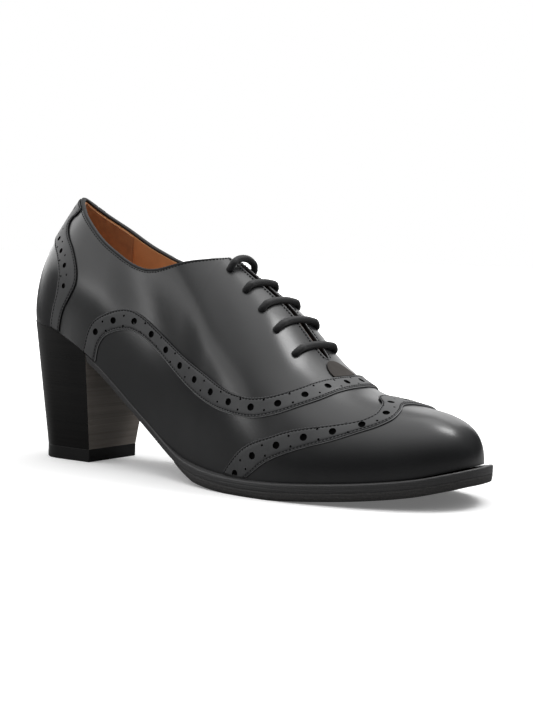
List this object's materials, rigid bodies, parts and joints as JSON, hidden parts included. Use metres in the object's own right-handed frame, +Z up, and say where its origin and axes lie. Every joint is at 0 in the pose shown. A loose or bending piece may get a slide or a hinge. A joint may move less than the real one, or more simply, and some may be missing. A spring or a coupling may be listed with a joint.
{
  "type": "heeled brogue shoe",
  "caption": "Right shoe of a heeled lace-up oxford brogue in black leather, with a winged toe, perforated bands, a stacked block heel and a rubber tread.",
  "frame": {"origin": "on the floor under the middle of the shoe's bounding box", "axes": "+X from heel to toe, +Y to the inner side of this right shoe, +Z up"},
  "size_m": [0.2385, 0.0866, 0.1245],
  "materials": {
    "black_leather": "smooth satin",
    "patch_leather": "matte",
    "tongue_leather": "matte",
    "tan_lining": "smooth",
    "sole_composite": "satin edge",
    "tread_rubber": "matte",
    "stacked_heel": "gloss",
    "heel_rubber": "matte",
    "waxed_cord": "waxed weave"
  },
  "bodies": {
    "root": {"upper": "black_leather", "vamp_band": "black_leather", "wing_band": "black_leather", "counter_band": "black_leather", "throat_patch": "patch_leather", "tongue": "tongue_leather", "insole": "tan_lining", "outsole": "sole_composite", "tread": "tread_rubber", "heel": "stacked_heel", "top_piece": "heel_rubber", "lace_bar_1": "waxed_cord", "lace_bar_2": "waxed_cord", "lace_bar_3": "waxed_cord", "lace_bar_4": "waxed_cord", "lace_bar_5": "waxed_cord"}
  },
  "joints": []
}
